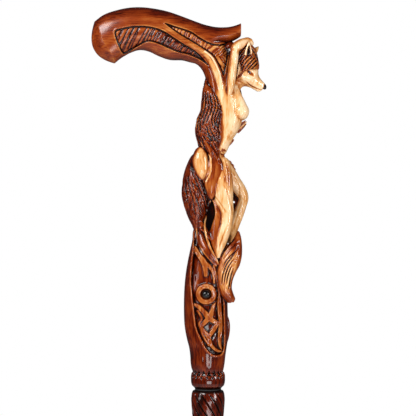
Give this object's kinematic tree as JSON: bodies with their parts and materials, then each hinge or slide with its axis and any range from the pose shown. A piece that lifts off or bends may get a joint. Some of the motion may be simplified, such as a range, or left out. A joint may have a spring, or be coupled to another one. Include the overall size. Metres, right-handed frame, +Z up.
{
  "type": "carved walking cane",
  "caption": "Take-apart wooden walking cane with a carved derby grip, a carved fox-headed figure on the neck, a threaded joint and a pull-off rubber tip.",
  "frame": {"origin": "middle of the rubber tip's flat base, on the staff's axis", "axes": "+Z up the staff, -X towards the end of the grip, +X the way the figure faces"},
  "size_m": [0.1499, 0.0378, 0.9204],
  "materials": {
    "stained_hardwood": "stained and varnished",
    "plain_beech": "bare",
    "black_bead": "polished",
    "brass": "turned",
    "black_washer": "matt",
    "steel": "zinc plated",
    "dark_stained_hardwood": "stained and varnished",
    "black_rubber": "moulded, matt"
  },
  "bodies": {
    "staff": {"staff": "dark_stained_hardwood", "joint_stud": "steel"},
    "tip": {"rubber_tip": "black_rubber", "tip_disc": "steel"},
    "washer": {"joint_washer": "black_washer"},
    "head": {"grip_block": "stained_hardwood", "neck_block": "stained_hardwood", "grip_dowel": "plain_beech", "inlay_bead_near": "black_bead", "inlay_bead_far": "black_bead", "threaded_insert": "brass"}
  },
  "joints": [
    {"name": "head_turn", "type": "hinge", "parent": "staff", "child": "washer", "pos_m": [0, 0, 0.5959], "axis": [0, 0, 1], "range_deg": [0, 4320]},
    {"name": "head_rise", "type": "slide", "parent": "washer", "child": "head", "axis": [0, 0, 1], "range_m": [0, 0.0181]},
    {"name": "tip_pull_off", "type": "slide", "parent": "staff", "child": "tip", "axis": [0, 0, -1], "range_m": [0, 0.034]}
  ],
  "couplings": [
    {"joint": "head_rise", "follows": "head_turn", "m_per_rad": 0.00023873}
  ]
}
